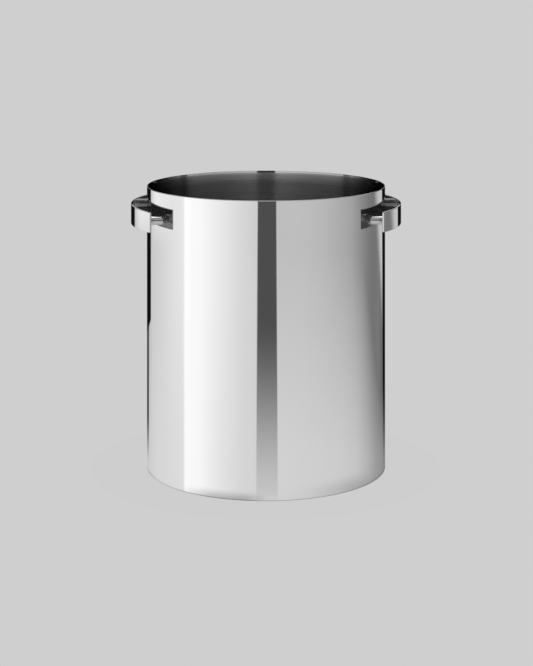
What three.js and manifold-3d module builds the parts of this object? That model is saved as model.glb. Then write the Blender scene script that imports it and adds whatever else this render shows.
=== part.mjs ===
// A cylindrical champagne bucket in polished steel, with a curved band handle on each side.
// Units are millimetres. +Z is up, the origin is the centre of the underside, and the handles lie along X.
//
// The bucket is a rolled and welded tube with a base plate welded into its lower end. Each handle is a
// band, curved round the bucket's own axis and held off the wall by two round posts that point sideways.
// A post has a thin spigot at each end: one sits in a hole through the wall, the other in a blind hole in
// the back of the band.
import * as THREE from "three";
import { mergeVertices } from "three/addons/utils/BufferGeometryUtils.js";
import Module from "manifold-3d";

// Tube
const BODY_RADIUS = 97.5;
const BODY_HEIGHT = 230;
const WALL = 1.0;
const FOOT_RADIUS = 0.6; // rounding of the tube's lower outer edge
const RIM_RADIUS = 0.3; // rounding of the rim's outer edge
const RIM_LAND = 0.5; // wall left at the rim, above the bevel
const RIM_BEVEL = 2.6; // height of the polished bevel inside the rim

// Base plate
const JOINT_GAP = 0.3; // room for the weld between plate and tube
const PLATE = 1.5; // thickness
const FOOT_LAND = 12; // width of the flat ring that the bucket stands on
const KICK_UP = 1.0; // rise of the plate's middle above that ring
const KICK_SLOPE = 5; // width of the slope between them
const FLOOR_FILLET = 0.5; // rounding of the plate's edges

// Handles
const BAND_HEIGHT = 15.9;
const BAND = 1.6; // thickness
const BAND_RADIUS = 110.5; // of the outer face, round the bucket's axis
const BAND_HALF_CHORD = 61; // from the band's middle to its end, straight across
const BAND_Z = 208; // height of the handles' middle
const BAND_EDGE = 0.3; // bevel on the band's long edges
const POST_RADIUS = 3.35;
const POST_Y = 50; // from the band's middle to each post
const POST_GAP = 0.1; // brazing gap at a post's shoulders
const SPIGOT_RADIUS = 1.5;
const SPIGOT_CLEARANCE = 0.1; // radial, in its hole
const SPIGOT_DEPTH = 0.8; // into the band
const BLIND_HOLE_DEPTH = 1.0;

const INNER_RADIUS = BODY_RADIUS - WALL;
const BAND_INNER_RADIUS = BAND_RADIUS - BAND;

const TUBE_SEGMENTS = 144;
const PLATE_SEGMENTS = 96;
const CUTTER_SEGMENTS = 288; // for the cylinders that shape the ends of the posts
const POST_SEGMENTS = 32;
const SPIGOT_SEGMENTS = 20;
const BAND_SEGMENTS = 36;
const CORNER_STEPS = 3;

const wasm = await Module();
wasm.setup();

const polished = new THREE.MeshStandardMaterial({ color: 0xd4d4d4, roughness: 0.06, metalness: 1 });
const brushed = new THREE.MeshStandardMaterial({ color: 0xc2c2c1, roughness: 0.32, metalness: 1 });

// Booleans work on solids; meshes are made from solids at the end.
function toSolid(geometry) {
  const bare = geometry.clone();
  bare.deleteAttribute("normal");
  bare.deleteAttribute("uv");
  const merged = mergeVertices(bare, 1e-4);
  return new wasm.Manifold(
    new wasm.Mesh({
      numProp: 3,
      vertProperties: new Float32Array(merged.attributes.position.array),
      triVerts: new Uint32Array(merged.index.array),
    }),
  );
}

function toGeometry(solid) {
  const mesh = solid.getMesh();
  const geometry = new THREE.BufferGeometry();
  geometry.setAttribute("position", new THREE.BufferAttribute(mesh.vertProperties, 3));
  geometry.setIndex(new THREE.BufferAttribute(mesh.triVerts, 1));
  geometry.computeVertexNormals();
  return geometry;
}

// Points of a quarter turn or less, as [radius, height] pairs for a lathe profile.
function corner(centreR, centreZ, radius, fromDegrees, toDegrees) {
  const points = [];
  for (let i = 0; i <= CORNER_STEPS; i++) {
    const angle = THREE.MathUtils.degToRad(fromDegrees + ((toDegrees - fromDegrees) * i) / CORNER_STEPS);
    points.push([centreR + radius * Math.cos(angle), centreZ + radius * Math.sin(angle)]);
  }
  return points;
}

// A profile of [radius, height] pairs, turned about +Z.
function turned(profile, segments) {
  const points = profile.map(([r, z]) => new THREE.Vector2(r, z));
  return new THREE.LatheGeometry(points, segments).rotateX(Math.PI / 2);
}

// A round bar along the bucket's axis, at the handles' height.
function uprightBar(radius) {
  const bar = new THREE.CylinderGeometry(radius, radius, 3 * BAND_HEIGHT, CUTTER_SEGMENTS);
  return toSolid(bar.rotateX(Math.PI / 2).translate(0, 0, BAND_Z));
}

// A round bar along X at a post's place, from one x to another.
function levelBar(y, radius, fromX, toX, segments) {
  const bar = new THREE.CylinderGeometry(radius, radius, toX - fromX, segments);
  return toSolid(bar.rotateZ(Math.PI / 2).translate((fromX + toX) / 2, y, BAND_Z));
}

function tube() {
  const outline = [
    [INNER_RADIUS, 0],
    ...corner(BODY_RADIUS - FOOT_RADIUS, FOOT_RADIUS, FOOT_RADIUS, -90, 0),
    ...corner(BODY_RADIUS - RIM_RADIUS, BODY_HEIGHT - RIM_RADIUS, RIM_RADIUS, 0, 90),
    [BODY_RADIUS - RIM_LAND, BODY_HEIGHT],
    [INNER_RADIUS, BODY_HEIGHT - RIM_BEVEL],
    [INNER_RADIUS, 0],
  ];
  let solid = toSolid(turned(outline, TUBE_SEGMENTS));
  for (const y of [-POST_Y, POST_Y]) {
    const drill = levelBar(y, SPIGOT_RADIUS + SPIGOT_CLEARANCE, -BODY_RADIUS, BODY_RADIUS, SPIGOT_SEGMENTS);
    solid = solid.subtract(drill);
  }
  return toGeometry(solid);
}

function basePlate() {
  const edge = INNER_RADIUS - JOINT_GAP;
  const landInner = edge - FOOT_LAND;
  const middle = landInner - KICK_SLOPE;
  const outline = [
    [0, KICK_UP],
    [middle, KICK_UP],
    [landInner, 0],
    ...corner(edge - FLOOR_FILLET, FLOOR_FILLET, FLOOR_FILLET, -90, 0),
    ...corner(edge - FLOOR_FILLET, PLATE - FLOOR_FILLET, FLOOR_FILLET, 0, 90),
    [landInner, PLATE],
    [middle, KICK_UP + PLATE],
    [0, KICK_UP + PLATE],
  ];
  return turned(outline, PLATE_SEGMENTS);
}

// Everything below is made for the handle on the +X side; the other handle is the same, turned half round.
function handleBand() {
  const halfAngle = Math.asin(BAND_HALF_CHORD / BAND_RADIUS);
  const shape = new THREE.Shape();
  shape.absarc(0, 0, BAND_RADIUS, -halfAngle, halfAngle, false);
  shape.absarc(0, 0, BAND_INNER_RADIUS, halfAngle, -halfAngle, true);
  shape.closePath();
  const strip = new THREE.ExtrudeGeometry(shape, {
    depth: BAND_HEIGHT - 2 * BAND_EDGE,
    curveSegments: BAND_SEGMENTS,
    bevelEnabled: true,
    bevelThickness: BAND_EDGE,
    bevelSize: BAND_EDGE,
    bevelOffset: -BAND_EDGE,
    bevelSegments: 1,
  });
  let solid = toSolid(strip.translate(0, 0, BAND_Z - BAND_HEIGHT / 2 + BAND_EDGE));
  const holeFloor = uprightBar(BAND_INNER_RADIUS + BLIND_HOLE_DEPTH);
  for (const y of [-POST_Y, POST_Y]) {
    const drill = levelBar(y, SPIGOT_RADIUS + SPIGOT_CLEARANCE, 0, BAND_RADIUS, SPIGOT_SEGMENTS);
    solid = solid.subtract(drill.intersect(holeFloor));
  }
  return toGeometry(solid);
}

function handlePost(y) {
  const wallFace = uprightBar(BODY_RADIUS + POST_GAP);
  const bandFace = uprightBar(BAND_INNER_RADIUS - POST_GAP);
  const shoulder = levelBar(y, POST_RADIUS, 0, BAND_RADIUS, POST_SEGMENTS);
  const shank = shoulder.intersect(bandFace).subtract(wallFace);

  const wallInside = uprightBar(INNER_RADIUS);
  const spigotEnd = uprightBar(BAND_INNER_RADIUS + SPIGOT_DEPTH);
  const pin = levelBar(y, SPIGOT_RADIUS, 0, BAND_RADIUS, SPIGOT_SEGMENTS);
  return toGeometry(shank.add(pin.intersect(spigotEnd).subtract(wallInside)));
}

function namedMesh(name, geometry, material) {
  const mesh = new THREE.Mesh(geometry, material);
  mesh.name = name;
  return mesh;
}

function handle(side, turn) {
  const group = new THREE.Group();
  group.rotation.z = turn;
  group.add(namedMesh(`handle_band_${side}`, handleBand(), polished));
  // Seen from the front, -Y: the left handle's frame is turned half round, so its +Y post is in front.
  const frontSign = turn === 0 ? -1 : 1;
  group.add(namedMesh(`handle_post_${side}_front`, handlePost(frontSign * POST_Y), polished));
  group.add(namedMesh(`handle_post_${side}_rear`, handlePost(-frontSign * POST_Y), polished));
  return group;
}

const bucket = new THREE.Group();
bucket.add(namedMesh("body_tube", tube(), polished));
bucket.add(namedMesh("base_plate", basePlate(), brushed));
bucket.add(handle("right", 0));
bucket.add(handle("left", Math.PI));

export default bucket;
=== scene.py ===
"""A champagne bucket in polished steel: a straight tube with a curved band handle on each side.

Each CAD node is replaced by a finer piece of the same size and place, because polished steel shows every
facet. The outside and the bands are mirror polished, the posts are satin, and the inside and the base are
brushed round. All lengths are in metres, and +Z is up. The right handle is on +X and the viewer is on -Y.
"""

import math

import bmesh
import bpy
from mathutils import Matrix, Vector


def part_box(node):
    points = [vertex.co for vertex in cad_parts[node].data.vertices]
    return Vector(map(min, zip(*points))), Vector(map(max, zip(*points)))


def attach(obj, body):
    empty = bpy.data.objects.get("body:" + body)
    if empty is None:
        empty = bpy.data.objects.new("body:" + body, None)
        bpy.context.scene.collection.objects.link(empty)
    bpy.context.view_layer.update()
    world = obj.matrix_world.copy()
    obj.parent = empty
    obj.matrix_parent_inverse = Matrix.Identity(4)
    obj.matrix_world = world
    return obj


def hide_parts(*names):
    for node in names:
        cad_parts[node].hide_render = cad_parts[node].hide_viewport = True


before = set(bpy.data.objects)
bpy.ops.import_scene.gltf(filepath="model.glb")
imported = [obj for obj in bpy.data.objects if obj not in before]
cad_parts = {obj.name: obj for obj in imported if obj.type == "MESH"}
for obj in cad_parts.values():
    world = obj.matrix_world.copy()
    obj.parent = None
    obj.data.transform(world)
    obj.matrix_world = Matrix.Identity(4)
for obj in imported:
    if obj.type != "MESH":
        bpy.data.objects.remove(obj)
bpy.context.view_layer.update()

MM = 0.001

# Sizes that the boxes of the CAD nodes don't give.
WALL = 1.0 * MM
RIM_LAND = 0.5 * MM
RIM_BEVEL = 2.6 * MM
RIM_RADIUS = 0.35 * MM
BEVEL_BLEND = 9 * MM  # radius of the soft turn from the bevel to the inside
RIM_LIGHT_RUN = 9 * MM  # how far the painted light next to the bevel runs down into the brushed inside
FOOT_RADIUS = 0.6 * MM
PLATE = 1.5 * MM
PLATE_GAP = 0.05 * MM  # between the plate's edge and the tube
PLATE_FILLET = 0.5 * MM
FOOT_LAND = 12 * MM
KICK_SLOPE = 5 * MM
BAND = 1.6 * MM
BAND_EDGE = 0.25 * MM
BAND_CORNER = 0.7 * MM
POST_GAP = 0.1 * MM
POST_CHAMFER = 0.3 * MM
SPIGOT_RADIUS = 1.5 * MM
SPIGOT_CHAMFER = 0.15 * MM
SPIGOT_CLEARANCE = 0.1 * MM
SPIGOT_DEPTH = 0.8 * MM
BLIND_HOLE_DEPTH = 1.0 * MM
SMALLEST_ARC = 0.02 * MM  # what is left of a band's rounded edges at its very ends
NEAR = 0.05 * MM  # a face this close to a round surface counts as lying on it

# Sizes read from the frame.
_, TUBE_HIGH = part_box("body_tube")
_, PLATE_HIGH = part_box("base_plate")
BAND_LOW, BAND_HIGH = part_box("handle_band_right")
POST_LOW, POST_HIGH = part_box("handle_post_right_rear")

BODY_RADIUS = TUBE_HIGH.x
BODY_HEIGHT = TUBE_HIGH.z
INNER_RADIUS = BODY_RADIUS - WALL
BAND_RADIUS = BAND_HIGH.x
BAND_INNER_RADIUS = BAND_RADIUS - BAND
BAND_HALF_ANGLE = math.asin(BAND_HIGH.y / BAND_RADIUS)
HANDLE_Z = (BAND_LOW.z + BAND_HIGH.z) / 2
POST_RADIUS = (POST_HIGH.z - POST_LOW.z) / 2
POST_Y = (POST_LOW.y + POST_HIGH.y) / 2

TUBE_SEGMENTS = 512
PLATE_SEGMENTS = 256
BAND_SEGMENTS = 128
POST_SEGMENTS = 64
SPIGOT_SEGMENTS = 32
FOOT_SHADOW_SEGMENTS = 128
ARC_STEPS = 5
SHARP_DEGREES = 30
MERGE_DISTANCE = 1e-7

# Finishes. A haze is the range of a surface's roughness.
STEEL = 0.52  # share of light that the polished steel reflects
STEEL_SPREAD = 0.004  # how much that share varies from place to place
MIRROR_HAZE = (0.02, 0.04)
BAND_BACK_HAZE = (0.03, 0.05)
BAND_BACK_VEIL = 0.25  # share of light that the back of a band scatters widely
VEIL_ROUGHNESS = 0.5
SATIN_HAZE = (0.24, 0.3)
MARK_HAZE = 0.04  # roughness that a wiping mark adds
MARK_DIMMING = 0.01  # brightness that it takes away
BRUSHED_HAZE = (0.26, 0.32)
BRUSHED_BRIGHTNESS = (0.245, 0.29)
RIM_PAINTED_LIGHT = 2.2  # painted light: how much brighter the brushed inside is painted next to the bevel, where more light falls in at the opening
GRAZING_SHADE_SHARE = 0.45  # of the brushed steel's brightness that is left at a grazing angle, painted shade for the far sides of the inside, which the opposite wall shades
GRAZING_SHADE_SPAN = (0.15, 0.52)  # from facing to grazing, where that painted shade starts and is complete
EDGE_TINT = 0.0  # of the brushed steel's shine at the very edge

# Lines in the steel: cells of noise for a radian along the lines, and for a metre across them.
HAIRLINES = (3.0, 2500.0)
FINE_BRUSHING = (1.5, 2500.0)
BROAD_BRUSHING = (0.8, 600.0)
BROAD_SHARE = 0.35  # of the brushing
LINE_HEIGHT = 0.01 * MM
HAIRLINE_BUMP, BRUSHING_BUMP = 0.004, 0.03
HAZE_CELLS = 25.0  # cells of noise for a metre of the uneven haze
NOISE_SPAN = (0.3, 0.7)  # most of a noise's values lie in here
NOISE_LIMITS = (0.2, 0.8)  # and nearly all of them in here
MARK_LINES = (0.62, 0.75)  # the deepest hairlines are the wiping marks
MARK_PATCHES = (0.45, 0.65)  # they show where the haze is in here or above

# Stage.
BACKGROUND = 207  # grey level of floor and backdrop
FLOOR_HALF = 10.0  # half the floor's side
FLOOR_DROP, FOOT_SHADOW_DROP = 0.05 * MM, 0.03 * MM  # how far the two lie below the foot
CONTACT_REACH = 60 * MM  # of the contact shadow
CONTACT_SPAN = (0.3, 1.0)  # share of open sky, from the deepest contact shadow to none
CONTACT_SAMPLES = 16
CONTACT_TONE = 0.985  # share of the floor's brightness in the deepest contact shadow
FOOT_SHADOW = 45 * MM  # width of the dimmer ring of table round the foot
CARD_Y = 300 * MM  # the black card behind the bucket
CARD_LEFT, CARD_RIGHT = -308 * MM, 248 * MM
CARD_FOOT, CARD_TOP = 45 * MM, 260 * MM
CARD_GREY = 12
MIRROR_BOUNCES = 12  # between handle and wall, light bounces many times

# Camera. Its lens is shifted down, and the handles aren't quite square to it.
CAMERA_DISTANCE = 14.905 * BODY_RADIUS
CAMERA_HEIGHT = BODY_HEIGHT + 1.908 * BODY_RADIUS
CAMERA_TURN = math.radians(0.6)
CLIP_START = 0.05
LENS = 95.70
LENS_SHIFT_X, LENS_SHIFT_Y = 0.0007, -0.563


# Mesh building


def rounded(corners):
    """Points of a closed outline whose corners, (r, z, radius), are turned into arcs."""
    points = []
    for i, (r, z, radius) in enumerate(corners):
        if radius == 0:
            points.append((r, z))
            continue
        before, after = corners[i - 1], corners[(i + 1) % len(corners)]
        to_before = math.atan2(before[1] - z, before[0] - r)
        to_after = math.atan2(after[1] - z, after[0] - r)
        opening = (to_after - to_before) % (2 * math.pi)
        if opening > math.pi:
            opening -= 2 * math.pi
        middle = to_before + opening / 2
        to_centre = radius / abs(math.sin(opening / 2))
        centre_r = r + to_centre * math.cos(middle)
        centre_z = z + to_centre * math.sin(middle)
        sweep = math.copysign(math.pi - abs(opening), opening)
        for step in range(ARC_STEPS + 1):
            angle = middle + math.pi + sweep * (0.5 - step / ARC_STEPS)
            points.append((centre_r + radius * math.cos(angle), centre_z + radius * math.sin(angle)))
    return points


def ring_vertices(mesh, outline, angle):
    """The outline's points, placed at an angle round the Z axis."""
    return [mesh.verts.new((r * math.cos(angle), r * math.sin(angle), z)) for r, z in outline]


def bridge(mesh, first, second):
    """Faces between two rings that have equally many vertices."""
    for i in range(len(first)):
        j = (i + 1) % len(first)
        mesh.faces.new((first[i], second[i], second[j], first[j]))


def mark_edges(mesh):
    """Makes a bmesh smooth but for its real edges."""
    for face in mesh.faces:
        face.smooth = True
    for edge in mesh.edges:
        edge.smooth = edge.calc_face_angle(0.0) < math.radians(SHARP_DEGREES)


def finished(name, mesh):
    """An object made from a closed bmesh."""
    bmesh.ops.recalc_face_normals(mesh, faces=mesh.faces)
    mark_edges(mesh)
    data = bpy.data.meshes.new(name)
    mesh.to_mesh(data)
    mesh.free()
    piece = bpy.data.objects.new(name, data)
    bpy.context.scene.collection.objects.link(piece)
    return piece


def turned(name, outline, segments):
    """A closed outline of (r, z) points, turned about the Z axis."""
    mesh = bmesh.new()
    rings = [ring_vertices(mesh, outline, 2 * math.pi * i / segments) for i in range(segments)]
    for i in range(segments):
        bridge(mesh, rings[i], rings[(i + 1) % segments])
    bmesh.ops.remove_doubles(mesh, verts=mesh.verts, dist=MERGE_DISTANCE)
    return finished(name, mesh)


def cut(piece, tools):
    """Cuts the tools' shapes out of a piece and removes the tools."""
    for tool in tools:
        modifier = piece.modifiers.new("cut", "BOOLEAN")
        modifier.operation = "DIFFERENCE"
        modifier.solver = "EXACT"
        modifier.object = tool
    evaluated = piece.evaluated_get(bpy.context.evaluated_depsgraph_get())
    mesh = bmesh.new()
    mesh.from_mesh(evaluated.to_mesh())
    mark_edges(mesh)
    piece.modifiers.clear()
    mesh.to_mesh(piece.data)
    mesh.free()
    for tool in tools:
        bpy.data.objects.remove(tool)


def hole_tool(side, y, depth):
    """A round bar along X that drills a spigot's hole, to a depth(y) measured from the axis."""
    mesh = bmesh.new()
    radius = SPIGOT_RADIUS + SPIGOT_CLEARANCE
    start, end = [], []
    for i in range(SPIGOT_SEGMENTS):
        angle = 2 * math.pi * i / SPIGOT_SEGMENTS
        at_y = y + radius * math.cos(angle)
        at_z = HANDLE_Z + radius * math.sin(angle)
        start.append(mesh.verts.new((side * BODY_RADIUS / 2, at_y, at_z)))
        end.append(mesh.verts.new((side * depth(at_y), at_y, at_z)))
    bridge(mesh, start, end)
    mesh.faces.new(start)
    mesh.faces.new(end)
    return finished("hole_tool", mesh)


def round_x(y, radius):
    """How far a round surface lies from the YZ plane at a given y."""
    return math.sqrt(radius**2 - y**2)


# The pieces


def make_tube():
    """The side wall, with the bevel inside its rim and the holes for the spigots."""
    foot_z = 8 * MM  # a ring of vertices just above the foot keeps the wall's shading straight
    post_clear = 1.3 * POST_RADIUS  # and so do rings above and below the posts
    outline = rounded(
        [
            (INNER_RADIUS, 0, 0),
            (BODY_RADIUS, 0, FOOT_RADIUS),
            (BODY_RADIUS, foot_z, 0),
            (BODY_RADIUS, HANDLE_Z - post_clear, 0),
            (BODY_RADIUS, HANDLE_Z + post_clear, 0),
            (BODY_RADIUS, BODY_HEIGHT, RIM_RADIUS),
            (BODY_RADIUS - RIM_LAND, BODY_HEIGHT, RIM_RADIUS / 3),
            (INNER_RADIUS, BODY_HEIGHT - RIM_BEVEL, BEVEL_BLEND),
            (INNER_RADIUS, HANDLE_Z + post_clear, 0),
            (INNER_RADIUS, HANDLE_Z - post_clear, 0),
        ]
    )
    piece = turned("wall", outline, TUBE_SEGMENTS)
    past_wall = 1.2 * BODY_RADIUS
    cut(piece, [hole_tool(side, y, lambda at_y: past_wall) for side in (-1, 1) for y in (-POST_Y, POST_Y)])
    piece.data.materials.append(polished_steel("polished_wall", "Z"))
    piece.data.materials.append(brushed_steel("brushed_inside", RIM_PAINTED_LIGHT))
    blend = BEVEL_BLEND * math.tan(math.atan2(WALL - RIM_LAND, RIM_BEVEL) / 2)
    for face in piece.data.polygons:
        x, y, z = face.center
        inside = math.hypot(x, y) < BODY_RADIUS - RIM_LAND and z < BODY_HEIGHT - RIM_BEVEL + blend
        face.material_index = 1 if inside else 0
    place(piece, "body_tube")


def make_plate():
    """The base plate, which stands on a flat ring."""
    edge = INNER_RADIUS - PLATE_GAP
    land_inner = edge - FOOT_LAND
    middle = land_inner - KICK_SLOPE
    kick_up = PLATE_HIGH.z - PLATE
    outline = rounded(
        [
            (0, kick_up, 0),
            (middle, kick_up, KICK_SLOPE),
            (land_inner, 0, KICK_SLOPE),
            (edge, 0, PLATE_FILLET),
            (edge, PLATE, PLATE_FILLET),
            (land_inner, PLATE, KICK_SLOPE),
            (middle, kick_up + PLATE, KICK_SLOPE),
            (0, kick_up + PLATE, 0),
        ]
    )
    piece = turned("base", outline, PLATE_SEGMENTS)
    piece.data.materials.append(brushed_steel("brushed_base"))
    place(piece, "base_plate")


def quarter_drop(radius, along):
    """How far a rounded corner falls short of its square corner, at a length from the corner's end."""
    rest = max(radius - along, 0.0)
    return radius - math.sqrt(radius**2 - rest**2)


def band_outline(from_end):
    """The band's section at a length from its end, where its edges and corners are rounded off."""
    inset = quarter_drop(BAND_EDGE, from_end)
    drop = quarter_drop(BAND_CORNER, from_end)
    edge = max(BAND_EDGE - inset, SMALLEST_ARC)
    inner = BAND_INNER_RADIUS + inset
    outer = BAND_RADIUS - inset
    low = BAND_LOW.z + drop
    high = BAND_HIGH.z - drop
    return rounded([(inner, low, edge), (outer, low, edge), (outer, high, edge), (inner, high, edge)])


def make_band(side, label):
    """A handle's curved band, with rounded edges and corners and two blind holes in its back."""
    mesh = bmesh.new()
    turn = 0 if side > 0 else math.pi
    lengths = sorted(
        radius * (1 - math.cos(math.pi / 2 * step / ARC_STEPS))
        for radius in (BAND_EDGE, BAND_CORNER)
        for step in range(1, ARC_STEPS + 1)
    )
    ends = [(length / BAND_RADIUS - BAND_HALF_ANGLE, length) for length in [0.0] + lengths]
    # Between the ends the section is whole, so any large length does.
    span = -2 * ends[-1][0]
    between = [(ends[-1][0] + span * i / BAND_SEGMENTS, BAND_RADIUS) for i in range(1, BAND_SEGMENTS)]
    other_ends = [(-angle, length) for angle, length in reversed(ends)]
    rings = [
        ring_vertices(mesh, band_outline(from_end), angle + turn)
        for angle, from_end in ends + between + other_ends
    ]
    for one, other in zip(rings, rings[1:]):
        bridge(mesh, one, other)
    mesh.faces.new(rings[0])
    mesh.faces.new(rings[-1])
    piece = finished(f"grip_{label}", mesh)
    depth = BAND_INNER_RADIUS + BLIND_HOLE_DEPTH
    cut(piece, [hole_tool(side, y, lambda at_y: round_x(at_y, depth)) for y in (-POST_Y, POST_Y)])
    piece.data.materials.append(polished_steel(f"polished_grip_{label}", "Z"))
    name = f"veiled_grip_{label}"
    piece.data.materials.append(polished_steel(name, "Z", BAND_BACK_HAZE, BAND_BACK_VEIL))
    for face in piece.data.polygons:
        x, y, _ = face.center
        face.material_index = 1 if math.hypot(x, y) < BAND_INNER_RADIUS + NEAR else 0
    place(piece, f"handle_band_{label}")


def post_stations():
    """Rings along a post from the bucket's inside to the band, as (ring radius, round surface, shift).

    Each ring lies on a round surface about the bucket's axis, then is moved along X by the shift.
    """
    wall = BODY_RADIUS + POST_GAP
    band = BAND_INNER_RADIUS - POST_GAP
    tip = BAND_INNER_RADIUS + SPIGOT_DEPTH
    chamfer = POST_CHAMFER
    soft = 0.3 * chamfer  # a ring at this place makes the chamfer round
    return [
        (SPIGOT_RADIUS - SPIGOT_CHAMFER, INNER_RADIUS, 0),
        (SPIGOT_RADIUS, INNER_RADIUS, SPIGOT_CHAMFER),
        (SPIGOT_RADIUS, wall, 0),
        (POST_RADIUS - chamfer, wall, 0),
        (POST_RADIUS - soft, wall, soft),
        (POST_RADIUS, wall, chamfer),
        (POST_RADIUS, wall, 2 * chamfer),
        (POST_RADIUS, band, -2 * chamfer),
        (POST_RADIUS, band, -chamfer),
        (POST_RADIUS - soft, band, -soft),
        (POST_RADIUS - chamfer, band, 0),
        (SPIGOT_RADIUS, band, 0),
        (SPIGOT_RADIUS, tip, -SPIGOT_CHAMFER),
        (SPIGOT_RADIUS - SPIGOT_CHAMFER, tip, 0),
    ]


def make_post(side, label, y, place_name):
    """A post between wall and band, with a thin spigot at both ends."""
    mesh = bmesh.new()
    rings = []
    for radius, surface_radius, shift in post_stations():
        ring = []
        for i in range(POST_SEGMENTS):
            angle = 2 * math.pi * i / POST_SEGMENTS
            at_y = y + radius * math.cos(angle)
            at_x = round_x(at_y, surface_radius) + shift
            ring.append(mesh.verts.new((side * at_x, at_y, HANDLE_Z + radius * math.sin(angle))))
        rings.append(ring)
    for one, other in zip(rings, rings[1:]):
        bridge(mesh, one, other)
    mesh.faces.new(rings[0])
    mesh.faces.new(rings[-1])
    piece = finished(f"post_{label}_{place_name}", mesh)
    name = f"satin_post_{label}_{place_name}"
    piece.data.materials.append(polished_steel(name, "X", SATIN_HAZE))
    piece.data.materials.append(bpy.data.materials["brushed_inside"])  # the end was ground flush
    for face in piece.data.polygons:
        x, y, _ = face.center
        face.material_index = 1 if math.hypot(x, y) < INNER_RADIUS + NEAR else 0
    place(piece, f"handle_post_{label}_{place_name}")


def place(piece, node):
    """Lets a piece stand for its CAD node."""
    piece.modifiers.new("shading", "WEIGHTED_NORMAL").keep_sharp = True
    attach(piece, "root")
    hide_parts(node)


# Node trees


class Tree:
    """Adds nodes to a node tree. An input is a number, a tuple or another node's output."""

    def __init__(self, owner):
        owner.use_nodes = True
        self.tree = owner.node_tree
        self.tree.nodes.clear()

    def add(self, kind, inputs=(), **settings):
        node = self.tree.nodes.new(kind)
        for name, value in settings.items():
            setattr(node, name, value)
        for key, value in dict(inputs).items():
            if isinstance(value, bpy.types.NodeSocket):
                self.tree.links.new(value, node.inputs[key])
            else:
                node.inputs[key].default_value = value
        return node

    def math(self, operation, *values):
        node = self.add("ShaderNodeMath", enumerate(values), operation=operation)
        return node.outputs[0]

    def slope(self, value, start, end, low=0.0, high=1.0, kind="LINEAR"):
        """A straight slope from low at start to high at end, and level beyond both."""
        inputs = {"Value": value, "From Min": start, "From Max": end, "To Min": low, "To Max": high}
        return self.add("ShaderNodeMapRange", inputs, interpolation_type=kind).outputs[0]

    def smooth(self, value, start, end, low=0.0, high=1.0):
        """The same with a smooth start and end."""
        return self.slope(value, start, end, low, high, "SMOOTHSTEP")

    def mix(self, share, first, second):
        inputs = {0: share, 2: first, 3: second}
        return self.add("ShaderNodeMix", inputs, data_type="FLOAT").outputs[0]

    def noise(self, vector, scale=1.0, detail=2.0):
        inputs = {"Vector": vector, "Scale": scale, "Detail": detail}
        return self.add("ShaderNodeTexNoise", inputs).outputs["Fac"]


def linear(grey):
    """Brightness of a grey level, with 255 for white."""
    share = grey / 255
    return share / 12.92 if share <= 0.04045 else ((share + 0.055) / 1.055) ** 2.4


# Materials


def round_coordinates(tree, round_axis):
    """Coordinates for lines that run round an axis: (turn, distance from the axis, place along it)."""
    point = tree.add("ShaderNodeSeparateXYZ", {0: tree.add("ShaderNodeTexCoord").outputs["Object"]})
    x, y, z = point.outputs
    if round_axis == "X":
        x, y, z = tree.math("SUBTRACT", z, HANDLE_Z), y, x
    turn = tree.math("ARCTAN2", y, x)
    distance = tree.math("SQRT", tree.math("ADD", tree.math("MULTIPLY", x, x), tree.math("MULTIPLY", y, y)))
    return turn, distance, z


def line_vector(tree, turn, distance, along, turn_scale, line_scale):
    """A noise vector that is stretched round the axis, so that the noise becomes lines."""
    inputs = {
        0: tree.math("MULTIPLY", turn, turn_scale),
        1: tree.math("MULTIPLY", distance, line_scale),
        2: tree.math("MULTIPLY", along, line_scale),
    }
    return tree.add("ShaderNodeCombineXYZ", inputs).outputs[0]


def steel_surface(tree, brightness, roughness, height, bump, veil=0.0, **extra):
    """Metal of a given brightness, with a bump from a height. The extra inputs are the shader's own.

    The veil is the share of light that it scatters widely.
    """
    colour = tree.add("ShaderNodeCombineColor", {0: brightness, 1: brightness, 2: brightness})
    normal = tree.add("ShaderNodeBump", {"Strength": bump, "Distance": LINE_HEIGHT, "Height": height})
    inputs = {
        "Base Color": colour.outputs[0],
        "Metallic": 1.0,
        "Roughness": roughness,
        "Normal": normal.outputs[0],
    }
    inputs.update(extra)
    surface = tree.add("ShaderNodeBsdfPrincipled", inputs)
    if veil > 0:
        inputs["Roughness"] = VEIL_ROUGHNESS
        scattering = tree.add("ShaderNodeBsdfPrincipled", inputs)
        parts = {0: veil, 1: surface.outputs[0], 2: scattering.outputs[0]}
        surface = tree.add("ShaderNodeMixShader", parts)
    tree.add("ShaderNodeOutputMaterial", {"Surface": surface.outputs[0]})


def polished_steel(name, round_axis, haze_range=MIRROR_HAZE, veil=0.0):
    """Mirror-polished steel: a slight haze, faint wiping marks and hairlines from the buffing wheel."""
    material = bpy.data.materials.new(name)
    tree = Tree(material)
    turn, distance, along = round_coordinates(tree, round_axis)
    hairlines = tree.noise(line_vector(tree, turn, distance, along, *HAIRLINES), detail=3.0)
    position = tree.add("ShaderNodeTexCoord").outputs["Object"]
    haze = tree.noise(position, HAZE_CELLS, detail=4.0)
    marks = tree.math(
        "MULTIPLY", tree.smooth(hairlines, *MARK_LINES), tree.smooth(haze, *MARK_PATCHES)
    )
    roughness = tree.smooth(haze, *NOISE_SPAN, *haze_range)
    roughness = tree.math("ADD", roughness, tree.math("MULTIPLY", marks, MARK_HAZE))
    brightness = tree.smooth(haze, *NOISE_LIMITS, STEEL - STEEL_SPREAD, STEEL + STEEL_SPREAD)
    brightness = tree.math("SUBTRACT", brightness, tree.math("MULTIPLY", marks, MARK_DIMMING))
    steel_surface(tree, brightness, roughness, hairlines, HAIRLINE_BUMP, veil)
    return material


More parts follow.
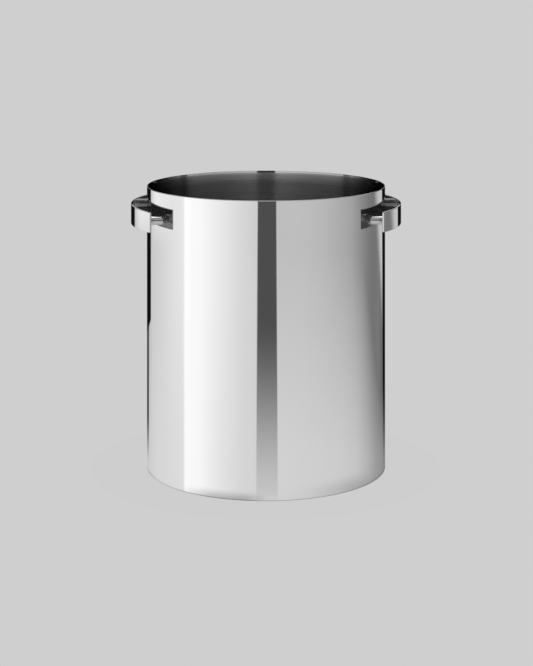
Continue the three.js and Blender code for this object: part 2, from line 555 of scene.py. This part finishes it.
def brushed_steel(name, rim_light=1.0):
    """Steel brushed round the Z axis: fine lines of uneven depth, which blur reflections up and down.

    The rim light is painted light: how much brighter it is painted next to the bevel at the rim.
    """
    material = bpy.data.materials.new(name)
    tree = Tree(material)
    turn, distance, along = round_coordinates(tree, "Z")
    fine = tree.noise(line_vector(tree, turn, distance, along, *FINE_BRUSHING))
    broad = tree.noise(line_vector(tree, turn, distance, along, *BROAD_BRUSHING))
    lines = tree.mix(BROAD_SHARE, fine, broad)
    roughness = tree.smooth(lines, *NOISE_SPAN, *BRUSHED_HAZE)
    bevel_foot = BODY_HEIGHT - RIM_BEVEL
    # painted light: the inside is painted brighter towards the bevel, where more light falls in at the
    # opening
    near_rim = tree.smooth(along, bevel_foot - RIM_LIGHT_RUN, bevel_foot, 1.0, rim_light)
    brightness = tree.smooth(lines, *NOISE_SPAN, *BRUSHED_BRIGHTNESS)
    brightness = tree.math("MULTIPLY", brightness, near_rim)
    # painted shade: darker where the inside is seen at a grazing angle, as the opposite wall shades it
    grazing = tree.add("ShaderNodeLayerWeight", {"Blend": 0.5}).outputs["Facing"]
    shade_share_left = tree.smooth(grazing, *GRAZING_SHADE_SPAN, 1.0, GRAZING_SHADE_SHARE)
    brightness = tree.math("MULTIPLY", brightness, shade_share_left)
    tangent = tree.add("ShaderNodeTangent", direction_type="RADIAL", axis="Z").outputs[0]
    brushing = {
        "Anisotropic": 1.0,
        "Anisotropic Rotation": 0.25,  # a quarter turn, so that the lines run round
        "Tangent": tangent,
        "Specular Tint": (EDGE_TINT, EDGE_TINT, EDGE_TINT, 1.0),
    }
    steel_surface(tree, brightness, roughness, lines, BRUSHING_BUMP, **brushing)
    return material


# The studio that the steel reflects. It is a soft-lit room drawn in the world shader, and it stays with the
# camera, as if the bucket were turned on a turntable. Directions are in degrees, 0 towards the camera and 90
# to its right. Heights are in degrees above the line from the camera through the bucket. A grey level, with
# 255 for white, is how that part of the room shows in the steel.

# The large screens round the bucket, and the table below them, as (direction, grey level).
SCREENS = [
    (-180, 60),
    (-157, 60),
    (-153, 150),
    (-147, 175),
    (-141, 190),
    (-128, 200),
    (-104, 220),
    (-85.6, 231),
    (-83.4, 253),  # edge of the large left light
    (-65, 248),
    (-44, 233),
    (-24, 216),
    (-10, 206),
    (10, 190),
    (33, 190),
    (53, 184),
    (75, 172),
    (88, 163),
    (102, 140),
    (115, 120),
    (124, 112),
    (138, 112),
    (152, 85),
    (180, 60),
]
TABLE = [
    (-180, 180),
    (-153, 180),
    (-141, 195),
    (-128, 207),
    (-104, 216),
    (-85.6, 220),
    (-83.4, 250),
    (-65, 246),
    (-44, 228),
    (-24, 214),
    (-10, 210),
    (33, 207),
    (75, 203),
    (96, 195),
    (115, 174),
    (130, 151),
    (152, 127),
    (180, 115),
]
SCREENS_FOOT, TABLE_EDGE = 2.2, -3.9  # heights
FAR_FOOT = -2.0  # the right screen hangs lower at its far edge
FAR_FOOT_SPAN = (104, 138)  # directions between which its foot slopes down to that

# Upright features of the room: where they span, how soft both edges are, and the heights where they start to
# fade and are gone. The lean is how far each edge moves outwards for a degree of height downwards.
UPRIGHTS = [
    dict(span=(-180, -155.5), soft=(0.6, 0.6), lean=0, grey=58, fade=(-2.6, -4.7)),  # past the left screen
    dict(span=(-138, -97), soft=(10, 10), lean=0, grey=227, fade=(3.9, 2.2)),  # top of the left screen
    dict(span=(152, 152), soft=(7, 0.6), lean=-5, grey=178, fade=(2.6, -1.6)),  # light past the right screen
    dict(span=(152.4, 180), soft=(0.6, 0.6), lean=-0.6, grey=12, fade=(-1.4, -5.3)),  # gap beyond it
    dict(span=(-8.35, 10.15), soft=(0.6, 0.6), lean=0.16, grey=76, fade=(0.3, -6.9)),  # camera's dark strip
]

# What is above the screens, and what is overhead.
ABOVE_SCREENS = [
    (-180, 150),
    (-168, 145),
    (-158, 20),
    (-125, 20),
    (-113, 45),
    (-102, 100),
    (-94, 130),
    (-92.5, 95),
    (-85, 95),
    (-84, 155),
    (-60, 168),
    (-9.7, 183),
    (-8.9, 45),
    (8.4, 45),
    (9.2, 170),
    (33, 160),
    (60, 147),
    (86, 142),
    (87.5, 72),
    (95.5, 70),
    (97, 100),
    (106, 75),
    (118, 35),
    (130, 20),
    (158, 20),
    (168, 145),
    (180, 150),
]
CEILING = [
    (-180, 300),
    (-140, 220),
    (-110, 10),
    (-60, 60),
    (-30, 145),
    (0, 140),
    (30, 145),
    (60, 60),
    (110, 10),
    (140, 220),
    (180, 300),
]
TABLE_NEAR = 172  # the part of the table right under the handles

# Heights between which one layer of the room turns into the next. The last two count from the horizon.
ABOVE_SCREENS_BLEND = (4.6, 6.6)
CEILING_BLEND = (18, 34)
TABLE_NEAR_BLEND = (-20, -45)


def layer_ramp(tree, share, stops):
    """The brightness of a layer of the room, from its direction as a share of a full turn."""
    node = tree.add("ShaderNodeValToRGB", {0: share})
    elements = node.color_ramp.elements
    while len(elements) < len(stops):
        elements.new(1.0)
    for element, (degrees, grey) in zip(elements, stops):
        element.position = 0.5 + degrees / 360
        value = linear(grey)
        element.color = (value, value, value, 1.0)
    return tree.add("ShaderNodeRGBToBW", {0: node.outputs[0]}).outputs[0]


def make_world():
    """The room that the steel reflects. The camera itself sees a plain backdrop."""
    world = bpy.data.worlds.new("studio")
    bpy.context.scene.world = world
    tree = Tree(world)

    def camera_to_world(vector, kind):
        node = tree.add(
            "ShaderNodeVectorTransform",
            {0: vector},
            vector_type=kind,
            convert_from="CAMERA",
            convert_to="WORLD",
        )
        return tree.add("ShaderNodeSeparateXYZ", {0: node.outputs[0]}).outputs

    ray = tree.add("ShaderNodeSeparateXYZ", {0: tree.add("ShaderNodeTexCoord").outputs["Generated"]})
    x, y, z = ray.outputs
    right_x, right_y, _ = camera_to_world((1.0, 0.0, 0.0), "VECTOR")
    eye_x, eye_y, eye_z = camera_to_world((0.0, 0.0, 0.0), "POINT")

    # Direction round the vertical axis, seen from the camera.
    to_right = tree.math("ADD", tree.math("MULTIPLY", x, right_x), tree.math("MULTIPLY", y, right_y))
    to_camera = tree.math(
        "SUBTRACT", tree.math("MULTIPLY", x, right_y), tree.math("MULTIPLY", y, right_x)
    )
    azimuth = tree.math("ARCTAN2", to_right, to_camera)
    share = tree.math("ADD", tree.math("DIVIDE", azimuth, 2 * math.pi), 0.5)

    # Height above the horizon, and above the line from the camera through the bucket's middle.
    height = tree.math("DEGREES", tree.math("ARCSINE", z))
    eye_distance = tree.math(
        "SQRT", tree.math("ADD", tree.math("MULTIPLY", eye_x, eye_x), tree.math("MULTIPLY", eye_y, eye_y))
    )
    eye_drop = tree.math("SUBTRACT", eye_z, BODY_HEIGHT / 2)
    looking_down = tree.math("DEGREES", tree.math("ARCTAN2", eye_drop, eye_distance))
    above_sight = tree.math("ADD", height, looking_down)

    degrees = tree.math("DEGREES", azimuth)
    foot = tree.slope(degrees, *FAR_FOOT_SPAN, SCREENS_FOOT, FAR_FOOT)
    table_share = tree.slope(above_sight, foot, TABLE_EDGE)
    room = tree.mix(table_share, layer_ramp(tree, share, SCREENS), layer_ramp(tree, share, TABLE))
    for upright in UPRIGHTS:
        left, right = upright["span"]
        left_soft, right_soft = upright["soft"]
        fade_start, fade_end = upright["fade"]
        shift = tree.math("MULTIPLY", above_sight, upright["lean"])
        from_left = tree.math("SUBTRACT", degrees, shift)
        from_right = tree.math("ADD", degrees, shift)
        inside = tree.math(
            "MULTIPLY",
            tree.smooth(from_left, left - left_soft, left + left_soft),
            tree.smooth(from_right, right + right_soft, right - right_soft),
        )
        strength = tree.math("MULTIPLY", inside, tree.smooth(above_sight, fade_end, fade_start))
        room = tree.mix(strength, room, linear(upright["grey"]))
    above_screens = tree.smooth(above_sight, *ABOVE_SCREENS_BLEND)
    room = tree.mix(above_screens, room, layer_ramp(tree, share, ABOVE_SCREENS))
    room = tree.mix(tree.smooth(height, *CEILING_BLEND), room, layer_ramp(tree, share, CEILING))
    room = tree.mix(tree.smooth(height, *TABLE_NEAR_BLEND), room, linear(TABLE_NEAR))
    room = tree.math("DIVIDE", room, STEEL)

    is_camera = tree.add("ShaderNodeLightPath").outputs["Is Camera Ray"]
    brightness = tree.mix(is_camera, room, linear(BACKGROUND))
    background = tree.add("ShaderNodeBackground", {"Color": brightness})
    tree.add("ShaderNodeOutputWorld", {"Surface": background.outputs[0]})


def flat_stage(name, mesh, height):
    """A level surface of the stage, made from a bmesh."""
    data = bpy.data.meshes.new(name)
    mesh.to_mesh(data)
    mesh.free()
    surface = bpy.data.objects.new(name, data)
    surface.location.z = height
    bpy.context.scene.collection.objects.link(surface)
    return surface


def make_floor():
    """A pale floor of the backdrop's own grey, with a faint contact shadow. The steel doesn't show it."""
    mesh = bmesh.new()
    bmesh.ops.create_grid(mesh, x_segments=1, y_segments=1, size=FLOOR_HALF)
    floor = flat_stage("floor", mesh, -FLOOR_DROP)
    floor.visible_glossy = False
    floor.visible_diffuse = False
    material = bpy.data.materials.new("floor")
    tree = Tree(material)
    occlusion = tree.add("ShaderNodeAmbientOcclusion", {"Distance": CONTACT_REACH}, samples=CONTACT_SAMPLES)
    tone = linear(BACKGROUND)
    brightness = tree.smooth(occlusion.outputs["AO"], *CONTACT_SPAN, CONTACT_TONE * tone, tone)
    emission = tree.add("ShaderNodeEmission", {"Color": brightness})
    tree.add("ShaderNodeOutputMaterial", {"Surface": emission.outputs[0]})
    floor.data.materials.append(material)


# The dim ring of table round the foot. The large light is on the left, so it is dim on the right and at the
# front. Each part has the directions round the foot (0 to the right, -90 to the front) over which it starts
# and ends, its width as a share of the ring's, and the share of light that it takes at the foot.
FOOT_SHADES = [
    dict(start=(-85, -30), end=(-12, -48), width=1.0, depth=0.35),
    dict(start=(-140, -115), end=(-88, -102), width=0.6, depth=0.42),
]
CONTACT_WIDTH, CONTACT_DEPTH = 0.08, 0.3  # the thin line all the way round


def make_foot_shadow():
    """The dimmer table close to the foot, which only shows in the steel."""
    mesh = bmesh.new()
    radius = BODY_RADIUS + FOOT_SHADOW
    bmesh.ops.create_circle(mesh, cap_ends=True, segments=FOOT_SHADOW_SEGMENTS, radius=radius)
    ring = flat_stage("foot_shadow", mesh, -FOOT_SHADOW_DROP)
    ring.visible_camera = False
    ring.visible_diffuse = False
    material = bpy.data.materials.new("foot_shadow")
    tree = Tree(material)
    turn, distance, _ = round_coordinates(tree, "Z")
    from_foot = tree.math("SUBTRACT", distance, BODY_RADIUS)
    degrees = tree.math("DEGREES", turn)
    shade = tree.smooth(from_foot, CONTACT_WIDTH * FOOT_SHADOW, 0.0, 0.0, CONTACT_DEPTH)
    for part in FOOT_SHADES:
        there = tree.math(
            "MULTIPLY", tree.smooth(degrees, *part["start"]), tree.smooth(degrees, *part["end"])
        )
        dimming = tree.smooth(from_foot, part["width"] * FOOT_SHADOW, 0.0, 0.0, part["depth"])
        shade = tree.math("ADD", shade, tree.math("MULTIPLY", there, dimming))
    passing = tree.add("ShaderNodeBsdfTransparent", {"Color": tree.math("SUBTRACT", 1.0, shade)})
    tree.add("ShaderNodeOutputMaterial", {"Surface": passing.outputs[0]})
    ring.data.materials.append(material)


def add_camera_variables(driver, names):
    """Gives a driver the camera's place, as variables named after the axes."""
    for name in names:
        variable = driver.variables.new()
        variable.name = name
        variable.type = "TRANSFORMS"
        variable.targets[0].id = bpy.context.scene.camera
        variable.targets[0].transform_type = "LOC_" + name.upper()


def make_black_card():
    """A black card behind the bucket, which only shows in the steel. It stays opposite the camera."""
    mesh = bmesh.new()
    corners = [
        (CARD_LEFT, CARD_FOOT),
        (CARD_RIGHT, CARD_FOOT),
        (CARD_RIGHT, CARD_TOP),
        (CARD_LEFT, CARD_TOP),
    ]
    mesh.faces.new([mesh.verts.new((x, CARD_Y, z)) for x, z in corners])
    card = flat_stage("black_card", mesh, 0.0)
    card.visible_camera = False
    card.visible_diffuse = False
    material = bpy.data.materials.new("black_card")
    tree = Tree(material)
    black = linear(CARD_GREY) / STEEL
    emission = tree.add("ShaderNodeEmission", {"Color": (black, black, black, 1.0)})
    tree.add("ShaderNodeOutputMaterial", {"Surface": emission.outputs[0]})
    card.data.materials.append(material)
    driver = card.driver_add("rotation_euler", 2).driver
    add_camera_variables(driver, "xy")
    driver.expression = "atan2(x, -y)"


def make_camera():
    """A level camera whose lens is shifted down, so that the upright lines stay parallel.

    The shift holds only where the camera stands here. A driver drops it when the camera is moved.
    """
    data = bpy.data.cameras.new("camera")
    data.lens = LENS
    data.clip_start = CLIP_START
    camera = bpy.data.objects.new("camera", data)
    camera.location.x = -CAMERA_DISTANCE * math.sin(CAMERA_TURN)
    camera.location.y = -CAMERA_DISTANCE * math.cos(CAMERA_TURN)
    camera.location.z = CAMERA_HEIGHT
    camera.rotation_euler = (math.pi / 2, 0, -CAMERA_TURN)
    bpy.context.scene.collection.objects.link(camera)
    bpy.context.scene.camera = camera
    in_place = f"abs(y + {CAMERA_DISTANCE:.5f}) < 0.001 and abs(z - {CAMERA_HEIGHT:.5f}) < 0.001"
    for channel, shift in (("shift_x", LENS_SHIFT_X), ("shift_y", LENS_SHIFT_Y)):
        driver = data.driver_add(channel).driver
        add_camera_variables(driver, "yz")
        driver.expression = f"{shift} if {in_place} else 0"


make_tube()
make_plate()
for side, label in ((1, "right"), (-1, "left")):
    make_band(side, label)
    make_post(side, label, -POST_Y, "front")
    make_post(side, label, POST_Y, "rear")
make_world()
make_floor()
make_foot_shadow()
make_camera()
make_black_card()
bpy.context.scene.view_settings.view_transform = "Standard"
bpy.context.scene.cycles.glossy_bounces = MIRROR_BOUNCES
bpy.context.scene.cycles.min_light_bounces = MIRROR_BOUNCES
